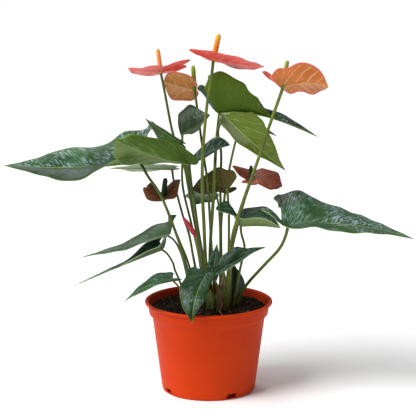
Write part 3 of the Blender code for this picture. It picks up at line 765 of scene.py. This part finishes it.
class Blade:
    """The CAD blade: a heart shape bent along its midrib, each half turned by its own control points."""

    def __init__(self, spec):
        names = ("base", "middle", "tip")
        self.base, self.middle, self.tip = (np.array(spec[name], float) * MM for name in names)
        self.halves = {side: self.half(spec[side]) for side in ("left", "right")}

    def midrib(self, x):
        x = np.asarray(x, float)[..., None]
        bent = self.base * (1 - x) * (1 - 2 * x) + self.middle * 4 * x * (1 - x) + self.tip * x * (2 * x - 1)
        return np.where(x < 0, self.base + x * self.direction(), bent)

    def direction(self):
        return 4 * self.middle - 3 * self.base - self.tip

    def half(self, points):
        """Vectors to the full half-width at each control place, and the lobe's shifts near to and far out."""
        lobe, *edge = (None if point is None else np.array(point, float) * MM for point in points)
        places = [(WIDE_X, 1.0), (FAR_X, FAR_Y), (END_X, END_Y)]
        if len(edge) > 2:
            places.insert(1, (MIDDLE_X, MIDDLE_Y))
        known = []
        for (x, y), point in zip(places, edge):
            if point is not None:
                known.append((x, (point - self.midrib(x)) / y))
        across = known[0][1]
        inner = outer = np.zeros(3)
        if lobe is not None and lobe.ndim == 1:
            inner = lobe - self.midrib(LOBE_X) - LOBE_Y * across
            outer = inner * LOBE_FALL
        elif lobe is not None:
            inner = lobe[0] - self.midrib(INNER_X) - INNER_Y * across
            outer = (lobe[1] - self.midrib(OUTER_X) - OUTER_Y * across) / ease(OUTER_X / LOBE_X)
        return known, inner, outer

    def across(self, side, x):
        """Vector from the midrib to the full half-width, turning from the widest place to the tip."""
        known = self.halves[side][0]
        total = known[0][1]
        for (start, before), (end, after) in zip(known, known[1:]):
            total = total + ease((x - start) / (end - start))[..., None] * (after - before)
        return total

    def normals(self):
        """Directions square to the whole blade, its left half and its right half at the base."""
        left = self.halves["left"][0][0][1]
        right = self.halves["right"][0][0][1]
        up = np.cross(self.direction(), [left - right, left, -right])
        return up / np.linalg.norm(up, axis=1)[:, None]

    def point(self, side, x, y):
        x, y = np.asarray(x, float), np.asarray(y, float)
        inner, outer = self.halves[side][1:]
        moved = ease(x / LOBE_X) * np.clip((1 - y) / (1 - OUTER_Y), 0, 1) ** 0.25
        turned = ease((y - INNER_Y) / (OUTER_Y - INNER_Y))[..., None]
        lobe = inner + turned * (outer - inner)
        return self.midrib(x) + y[..., None] * self.across(side, x) + moved[..., None] * lobe

    def rib(self, count, below):
        """The midrib's line, held below the blade by a distance."""
        x = np.linspace(0.0, 0.96, count)
        line = self.midrib(x)
        ahead = np.gradient(line, axis=0)
        up = np.cross(ahead, self.across("left", x) - self.across("right", x))
        return line - unit(up, self.normals()[0]) * below


def shaped_grid(blade, side, outline, rows, columns, arch, wave, quilt):
    """Points of one half with its arch, its margin's waves and the swellings between its veins, and each
    point's place for the materials."""
    edge = smooth_path(outline, rows)
    vein_start = np.maximum(0, edge[:, 0] - VEIN_SLANT * edge[:, 1])
    out = np.linspace(0, 1, columns)
    x = vein_start[:, None] * (1 - out) + edge[:, :1] * out
    y = edge[:, 1:] * out
    points = blade.point(side, x, y)
    outward = np.gradient(points, axis=1)
    along = np.gradient(points, axis=0)
    up = np.cross(along, outward) if side == "left" else np.cross(outward, along)
    up = unit(up, blade.normals()[1 if side == "left" else 2])
    reach = np.linalg.norm(points[:, -1] - points[:, 0], axis=1)[:, None]
    steps = np.linalg.norm(np.diff(points[:, -1], axis=0), axis=1)
    run = np.concatenate([[0], np.cumsum(steps)])[:, None]
    phase = 1.3 if side == "left" else 0.0
    lift = arch * reach * 4 * out * (1 - out)
    taper = ease(reach / (0.5 * reach.max()))
    lift = lift + taper * wave * out**3 * np.sin(run / WAVE_LENGTH * math.tau + phase)
    lift = lift + taper * quilt * np.abs(np.sin(math.pi * run / VEIN_SPACING)) * np.sin(math.pi * out)
    sign = 1 if side == "left" else -1
    place = np.stack(np.broadcast_arrays(run, sign * reach * out, out[None, :]), axis=-1)
    return points + up * lift[..., None], place


def blade_piece(name, blade, outline, thickness, rows, columns, looks, materials, quilt):
    """Both halves joined along the midrib and thickened, with the second material on the underside."""
    mesh_edit = bmesh.new()
    layer = mesh_edit.verts.layers.float_vector.new("vein")
    for number, side in enumerate(("left", "right")):
        grid, place = shaped_grid(
            blade, side, outline, rows, columns, looks["arch"][number], looks["wave"] * MM, quilt
        )
        vertices = []
        for points, places in zip(grid, place):
            line = [mesh_edit.verts.new(point) for point in points]
            for vertex, value in zip(line, places):
                vertex[layer] = Vector(value)
            vertices.append(line)
        for row in range(rows - 1):
            for column in range(columns - 1):
                corners = [
                    vertices[row][column],
                    vertices[row][column + 1],
                    vertices[row + 1][column + 1],
                    vertices[row + 1][column],
                ]
                mesh_edit.faces.new(corners if side == "right" else corners[::-1])
    bmesh.ops.remove_doubles(mesh_edit, verts=mesh_edit.verts, dist=0.00002)
    mesh = finished_mesh(name, mesh_edit)
    mesh.shade_smooth()
    piece = add_object(name, mesh, *materials)
    solidify = piece.modifiers.new("thickness", "SOLIDIFY")
    solidify.thickness = thickness
    solidify.offset = 0.0
    solidify.material_offset = 1
    solidify.material_offset_rim = 1
    return piece


def tube(name, path, radii, material, samples, resolution=4):
    """A round tube through the points, its radius running smoothly through the list of radii."""
    line = smooth_path(path, samples)
    widths = smooth_path(np.asarray(radii, float)[:, None], samples)[:, 0]
    curve = bpy.data.curves.new(name, "CURVE")
    curve.dimensions = "3D"
    curve.bevel_depth = 1.0
    curve.bevel_resolution = resolution
    curve.use_fill_caps = True
    spline = curve.splines.new("POLY")
    spline.points.add(samples - 1)
    for target, point, width in zip(spline.points, line, widths):
        target.co = (*point, 1.0)
        target.radius = max(width, 0.00005)
    spline.use_smooth = True
    return add_object(name, curve, material)


def ring_mesh(name, path, radius_at, segments, rings, material):
    """A closed body of rings along a path; radius_at(angle, share) gives each point's distance from it."""
    line = smooth_path(path, rings)
    ahead = unit(np.gradient(line, axis=0), np.array([0.0, 0.0, 1.0]))
    side = unit(np.cross(ahead, [0.31, 0.95, 0.0]), np.array([1.0, 0.0, 0.0]))
    other = np.cross(ahead, side)
    share = np.linspace(0, 1, rings)[:, None]
    angle = np.linspace(0, math.tau, segments, endpoint=False)[None, :]
    radius = radius_at(angle, share)[..., None]
    around = np.cos(angle)[..., None] * side[:, None] + np.sin(angle)[..., None] * other[:, None]
    points = line[:, None] + around * radius
    mesh_edit = bmesh.new()
    layer = mesh_edit.verts.layers.float.new("along")
    vertices = []
    for row, value in zip(points, share[:, 0]):
        ring = [mesh_edit.verts.new(point) for point in row]
        for vertex in ring:
            vertex[layer] = value
        vertices.append(ring)
    for low, high in zip(vertices, vertices[1:]):
        for index in range(segments):
            follow = (index + 1) % segments
            mesh_edit.faces.new((low[index], low[follow], high[follow], high[index]))
    mesh_edit.faces.new(vertices[0][::-1])
    mesh_edit.faces.new(vertices[-1])
    bmesh.ops.recalc_face_normals(mesh_edit, faces=mesh_edit.faces)
    mesh = finished_mesh(name, mesh_edit)
    mesh.shade_smooth()
    return add_object(name, mesh, material)


def stalk(name, spec, blade, material):
    """A stalk from inside the soil up to its blade, a little thicker at its foot and below the blade."""
    foot, route, foot_radius, top_radius = spec
    start = np.array([foot[0] * MM, foot[1] * MM, STALK_FOOT])
    end = blade.base - blade.normals()[0] * STALK_SINK
    path = [start, *millimetres(route), end]
    radii = np.linspace(foot_radius, top_radius, len(path)) * MM
    radii[0] *= FOOT_FLARE
    radii[-1] *= TOP_FLARE
    piece = tube(name, path, radii, material, 12 * len(path))
    keep(piece, name)


def make_leaves():
    stem = stalk_material("petiole_skin", STALK_GREEN, STALK_SHADE)
    rib = stalk_material("midrib_skin", (146, 170, 92), (120, 148, 72))
    for name, spec in LEAVES.items():
        looks = BLADE_LOOKS[name]
        blade = Blade(spec)
        materials = [
            leaf_top_material(name, looks["top"], looks["sheen_streaks"], looks["shaded_half"]),
            leaf_under_material(name, looks["under"], looks["near"]),
        ]
        turned = looks["turned"]
        if turned:
            materials.reverse()
        size = np.linalg.norm(blade.tip - blade.base)
        rows, columns = LARGE_GRID if size > LARGE_LEAF else SMALL_GRID
        quilt = QUILT_HEIGHT * min(1.0, size / 0.12)
        node = f"leaf_{name}"
        piece = blade_piece(
            node, blade, LEAF_HALF, LEAF_THICKNESS, rows, columns, looks, materials, quilt
        )
        keep(piece, node)
        width = MIDRIB_RADIUS * min(1.0, 0.45 + size / 0.2)
        line = blade.rib(13, width * (-0.7 if turned else 0.7))
        keep(tube(f"midrib_{name}", line, np.linspace(width, 0.0002, 13), rib, 40, 3))
        if name in PETIOLES:
            stalk(f"petiole_{name}", PETIOLES[name], blade, stem)


def make_spadix(name, blade, tip, radius):
    low, high = SPADIX_LOOKS[name]
    start = blade.base - blade.normals()[0] * 0.0002
    middle = start * 0.5 + tip * 0.5 + blade.normals()[0] * 0.0006
    length = np.linalg.norm(tip - start)
    turns = length / SPADIX_PITCH

    def radius_at(angle, share):
        body = np.sqrt(np.clip(1 - ((share - 0.1) / 0.9) ** 16, 0.02, 1)) * (1.06 - 0.10 * share)
        bumps = np.cos(7 * angle + math.pi * turns * share) * np.cos(7 * angle - math.pi * turns * share)
        return radius * body * (0.95 + 0.07 * bumps)

    rings = int(length / SPADIX_RING)
    skin = spadix_material(f"spadix_{name}", low, high)
    piece = ring_mesh(f"spadix_{name}", [start, middle, tip], radius_at, 56, rings, skin)
    keep(piece, f"spadix_{name}")


def make_flowers():
    stem = stalk_material("peduncle_skin", (100, 114, 34), (74, 84, 26))
    for name, spec in FLOWERS.items():
        looks = SPATHE_LOOKS[name]
        blade = Blade(spec)
        rough = 0.45 if "brown" in name else 0.35
        top, under, vein = (looks[key] for key in ("top", "under", "vein"))
        margin = MARGINS.get(name, shade(under, 0.95))
        materials = (
            spathe_material(f"spathe_inside_{name}", top, vein, shade(top, 0.95), rough),
            spathe_material(f"spathe_outside_{name}", under, vein, margin, rough + 0.08),
        )
        node = f"spathe_{name}"
        piece = blade_piece(
            node, blade, SPATHE_HALF, SPATHE_THICKNESS, *SPATHE_GRID, looks, materials, QUILT_HEIGHT * 0.8
        )
        keep(piece, node)
        stalk(f"peduncle_{name}", spec["stalk"], blade, stem)
        tip, radius = spec["spadix"]
        make_spadix(name, blade, np.array(tip, float) * MM, radius * MM)


def bud_material(name, stem, petal, start, end, axis):
    """Stalk colour up to one place along an axis and petal colour beyond the other."""
    look = Material(name, roughness=0.38, specular=0.45, coat=0.15)
    place = look.position()
    split = look.add("SeparateXYZ", {"Vector": place})
    grain = look.noise(look.stretched(*split.outputs, (1.0, 1.0, 0.15)), 900.0, 3.0)
    tone = look.mix(look.fade(grain, 0.35, 0.7), shade(petal, 0.8), shade(petal, 1.15))
    below = look.mix(look.fade(grain, 0.35, 0.7), shade(stem, 0.85), shade(stem, 1.15))
    look.colour(look.mix(look.fade(split.outputs[axis], start * MM, end * MM), below, tone))
    look.roughness(grain, 0.25, 0.28)
    look.bump(grain, 0.0003, 0.5)
    return look.material


def make_buds():
    skins = {
        "red": bud_material("bud_red_skin", (96, 108, 38), (176, 30, 44), 207, 211, "Z"),
        "brown": bud_material("bud_brown_skin", (104, 124, 46), (130, 84, 52), 42, 52, "X"),
    }
    for name, (foot, route, radii) in BUDS.items():
        path = [np.array([foot[0] * MM, foot[1] * MM, STALK_FOOT]), *millimetres(route)]
        widths = np.array(radii, float) * MM
        profile = smooth_path(widths[:, None], 160)[:, 0]

        def radius_at(angle, share, profile=profile):
            body = np.interp(share[:, 0], np.linspace(0, 1, 160), profile)[:, None]
            seam = np.mod(angle / math.tau + 1.5 * share, 1.0)
            furled = ease((share - 0.62) / 0.08)
            return np.maximum(body, 0.0002) * (1 + 0.12 * furled * (seam - 0.5))

        node = f"bud_{name}"
        keep(ring_mesh(node, path, radius_at, 32, 160, skins[name]), node)


def make_root():
    look = woody_material("root_bark", (176, 140, 104), (112, 82, 56))
    path = smooth_path(millimetres(ROOT_PATH), 40)

    def radius_at(angle, share):
        knots = 1 + 0.16 * np.sin(share * 41) * np.cos(angle + share * 9)
        return ROOT_RADIUS * (1.05 - 0.35 * share) * knots

    keep(ring_mesh("aerial_root", path, radius_at, 20, 90, look), "aerial_root")


def make_sheaths():
    """Dry and green sheaths that wrap the stalks' feet."""
    for name, (spec, colour, pale) in SHEATHS.items():
        look = papery_material(f"{name}_skin", colour, pale)
        piece = blade_piece(
            name, Blade(spec), SHEATH_HALF, LEAF_THICKNESS, *SHEATH_GRID,
            dict(arch=(0.25, 0.25), wave=0.2), (look, look), 0.0,
        )
        keep(piece, "sheath" if name == "sheath" else None)


def ground_height(x, y):
    """Height of the peat: rough all over, banked up behind the stalks."""
    rough = noise.noise((x * 90, y * 90, 0.3)) * 0.0016 + noise.noise((x * 260, y * 260, 4.1)) * 0.0010
    mound = 0.0085 * math.exp(-(((x - 0.034) / 0.013) ** 2) - ((y - 0.020) / 0.014) ** 2)
    crown = 0.0030 * math.exp(-(((x - 0.004) / 0.03) ** 2) - ((y + 0.004) / 0.025) ** 2)
    return SOIL_TOP + rough + mound + crown


def make_soil():
    """One closed body with a rough top, and crumbs scattered over it."""
    rng = random.Random(11)
    rings = [(SOIL_EDGE * step / SOIL_RINGS, None) for step in range(1, SOIL_RINGS + 1)] + list(SOIL_SIDE)
    vertices = [(0.0, 0.0, ground_height(0.0, 0.0))]
    for radius, height in rings:
        for step in range(SOIL_STEPS):
            angle = math.tau * step / SOIL_STEPS
            x, y = radius * math.cos(angle), radius * math.sin(angle)
            vertices.append((x, y, ground_height(x, y) if height is None else height))
    faces = [(0, 1 + step, 1 + (step + 1) % SOIL_STEPS) for step in range(SOIL_STEPS)]
    for ring in range(len(rings) - 1):
        inner = 1 + ring * SOIL_STEPS
        for step in range(SOIL_STEPS):
            follow = (step + 1) % SOIL_STEPS
            outer = inner + SOIL_STEPS
            faces.append((inner + step, outer + step, outer + follow, inner + follow))
    faces.append(tuple(range(len(vertices) - 1, len(vertices) - 1 - SOIL_STEPS, -1)))
    kinds = [0] * len(faces)
    ball = bmesh.new()
    bmesh.ops.create_icosphere(ball, subdivisions=1, radius=1.0)
    ball_points = [vertex.co.copy() for vertex in ball.verts]
    ball_faces = [tuple(vertex.index for vertex in face.verts) for face in ball.faces]
    ball.free()
    for _ in range(CRUMBS):
        points, kind = crumb(rng, ball_points)
        first = len(vertices)
        vertices += points
        faces += [tuple(first + index for index in face) for face in ball_faces]
        kinds += [kind] * len(ball_faces)
    mesh = bpy.data.meshes.new("soil")
    mesh.from_pydata(vertices, [], faces)
    mesh.polygons.foreach_set("material_index", kinds)
    piece = add_object(
        "soil",
        mesh,
        peat_material("peat", (34, 24, 18), (66, 48, 34)),
        woody_material("bark_bit", (142, 110, 76), (88, 64, 42)),
        woody_material("pale_bit", (206, 196, 178), (150, 138, 118)),
    )
    keep(piece, "soil")


def crumb(rng, ball_points):
    """A lump of peat, and now and then a bit of bark or a pale grain, sunk a little into the surface."""
    radius = (SOIL_EDGE - 0.002) * math.sqrt(rng.random())
    angle = rng.uniform(0, math.tau)
    x, y = radius * math.cos(angle), radius * math.sin(angle)
    draw = rng.random()
    kind = 2 if draw > 0.988 else 1 if draw > 0.94 else 0
    size = rng.uniform(0.0004, 0.0008) if kind == 2 else rng.uniform(0.0006, 0.0021)
    stretch = Matrix.Diagonal((rng.uniform(0.7, 1.8), rng.uniform(0.6, 1.2), rng.uniform(0.5, 1.0), 1.0))
    axis = Vector((rng.random(), rng.random(), rng.random() + 0.1))
    turn = Matrix.Rotation(rng.uniform(0, math.tau), 4, axis)
    place = Matrix.Translation((x, y, ground_height(x, y) + size * 0.3))
    shaping = place @ turn @ stretch @ Matrix.Scale(size, 4)
    return [tuple(shaping @ (point * (1 + rng.uniform(-0.25, 0.25)))) for point in ball_points], kind


def make_pot():
    inner = POT_WALL
    profile = [
        (0.0, POT_FLOOR),
        (BASE_RADIUS - inner - 0.002, POT_FLOOR),
        (BASE_RADIUS - inner + 0.0002, POT_FLOOR + 0.0012),
        (BASE_RADIUS - inner + 0.0006, POT_FLOOR + 0.003),
        (BODY_RADIUS - inner - 0.0002, BODY_TOP - 0.001),
        (BODY_RADIUS - inner + 0.0004, BODY_TOP + 0.0003),
        (COLLAR_FOOT - inner - 0.0005, COLLAR_BOTTOM - 0.0003),
        (COLLAR_FOOT - inner, COLLAR_BOTTOM + 0.0008),
        (COLLAR_RADIUS - inner, POT_HEIGHT - 0.0035),
        (COLLAR_RADIUS - inner + 0.0004, POT_HEIGHT - 0.0018),
        (COLLAR_RADIUS - inner + 0.0016, POT_HEIGHT - 0.0006),
        (RIM_RADIUS - 0.0034, POT_HEIGHT - 0.0001),
        (RIM_RADIUS - 0.0022, POT_HEIGHT),
        (RIM_RADIUS - 0.0011, POT_HEIGHT - 0.0002),
        (RIM_RADIUS - 0.0003, POT_HEIGHT - 0.0008),
        (RIM_RADIUS, POT_HEIGHT - 0.0018),
        (RIM_RADIUS - 0.0002, POT_HEIGHT - 0.0027),
        (RIM_RADIUS - 0.0009, POT_HEIGHT - 0.0034),
        (COLLAR_RADIUS + 0.0008, POT_HEIGHT - 0.0036),
        (COLLAR_RADIUS + 0.0002, POT_HEIGHT - 0.0040),
        (COLLAR_RADIUS, POT_HEIGHT - 0.0052),
        (COLLAR_FOOT, COLLAR_BOTTOM + 0.0012),
        (COLLAR_FOOT - 0.0004, COLLAR_BOTTOM),
        (BODY_RADIUS + 0.0006, BODY_TOP + 0.0004),
        (BODY_RADIUS, BODY_TOP - 0.0012),
        (BASE_RADIUS, 0.0045),
        (BASE_RADIUS - 0.0004, 0.0024),
        (BASE_RADIUS - 0.0014, 0.0009),
        (BASE_RADIUS - 0.0032, 0.0),
        (0.0, 0.0),
    ]
    mesh = bpy.data.meshes.new("pot")
    edges = [(index, index + 1) for index in range(len(profile) - 1)]
    mesh.from_pydata([(radius, 0.0, height) for radius, height in profile], edges, [])
    pot = add_object("pot", mesh, pot_material())
    screw = pot.modifiers.new("turn", "SCREW")
    screw.steps = POT_STEPS
    screw.render_steps = POT_STEPS
    screw.use_merge_vertices = True
    screw.merge_threshold = 0.00001
    screw.use_smooth_shade = True
    recess = (CUT_DEPTH, NOTCH_WIDTH, 2 * NOTCH_HEIGHT)
    slot = (CUT_DEPTH, SLOT_WIDTH, SLOT_HEIGHT)
    cutters = []
    for number, angle in enumerate(NOTCH_ANGLES):
        turn = math.radians(angle - 90)
        cutters.append(cut_box(pot, f"recess_{number}", recess, turn, NOTCH_FACE + CUT_DEPTH / 2, 0.0))
        cutters.append(cut_box(pot, f"slot_{number}", slot, turn, NOTCH_FACE - 0.001, SLOT_MIDDLE))
    apply_modifiers(pot)
    for cutter in cutters:
        bpy.data.objects.remove(cutter)
    pot.data.shade_smooth()
    pot.data.set_sharp_from_angle(angle=math.radians(50))
    keep(pot, "pot")


def cut_box(target, name, size, turn, reach, height):
    mesh_edit = bmesh.new()
    bmesh.ops.create_cube(mesh_edit, size=1.0, matrix=Matrix.Diagonal((*size, 1.0)))
    cutter = add_object(name, finished_mesh(name, mesh_edit))
    cutter.location = (reach * math.cos(turn), reach * math.sin(turn), height)
    cutter.rotation_euler = (0.0, 0.0, turn)
    cut = target.modifiers.new(name, "BOOLEAN")
    cut.operation = "DIFFERENCE"
    cut.solver = "EXACT"
    cut.object = cutter
    return cutter


def apply_modifiers(piece):
    bpy.context.view_layer.update()
    graph = bpy.context.evaluated_depsgraph_get()
    mesh = bpy.data.meshes.new_from_object(piece.evaluated_get(graph), depsgraph=graph)
    piece.modifiers.clear()
    piece.data = mesh


def area_light(name, location, size, energy):
    light = bpy.data.lights.new(name, "AREA")
    light.shape = "DISK"
    light.size = size
    light.energy = energy
    light.color = SOFTBOX_COLOUR
    lamp = add_object(name, light)
    lamp.location = location
    lamp.rotation_euler = (LOOK_AT - Vector(location)).to_track_quat("-Z", "Y").to_euler()


def sun_light(name, towards, strength, softness):
    """A broad lamp that lights the whole floor alike; towards points from the plant to the lamp."""
    light = bpy.data.lights.new(name, "SUN")
    light.energy = strength
    light.angle = math.radians(softness)
    lamp = add_object(name, light)
    lamp.rotation_euler = (-Vector(towards)).to_track_quat("-Z", "Y").to_euler()


def make_studio():
    mesh = bpy.data.meshes.new("floor")
    half = FLOOR_SIZE / 2
    corners = [(-half, -half, 0), (half, -half, 0), (half, half, 0), (-half, half, 0)]
    mesh.from_pydata(corners, [], [(0, 1, 2, 3)])
    add_object("floor", mesh, floor_material())
    world = bpy.data.worlds.new("studio")
    world.use_nodes = True
    background = world.node_tree.nodes["Background"]
    background.inputs["Color"].default_value = SKY_COLOUR
    background.inputs["Strength"].default_value = SKY_STRENGTH
    bpy.context.scene.world = world
    sun_light("sun", SUN_TOWARDS, SUN_STRENGTH, SUN_SOFTNESS)
    for name, (location, size, energy) in SOFTBOXES.items():
        area_light(name, location, size, energy)
    bpy.context.scene.view_settings.view_transform = "Standard"


def make_camera():
    camera = add_object("camera", bpy.data.cameras.new("camera"))
    camera.location = CAMERA_PLACE
    camera.rotation_euler = (math.pi / 2 - CAMERA_PITCH, 0.0, 0.0)
    camera.data.sensor_width = 36.0
    camera.data.lens = CAMERA_LENS
    bpy.context.scene.camera = camera


make_pot()
make_soil()
make_leaves()
make_flowers()
make_buds()
make_root()
make_sheaths()
make_studio()
make_camera()
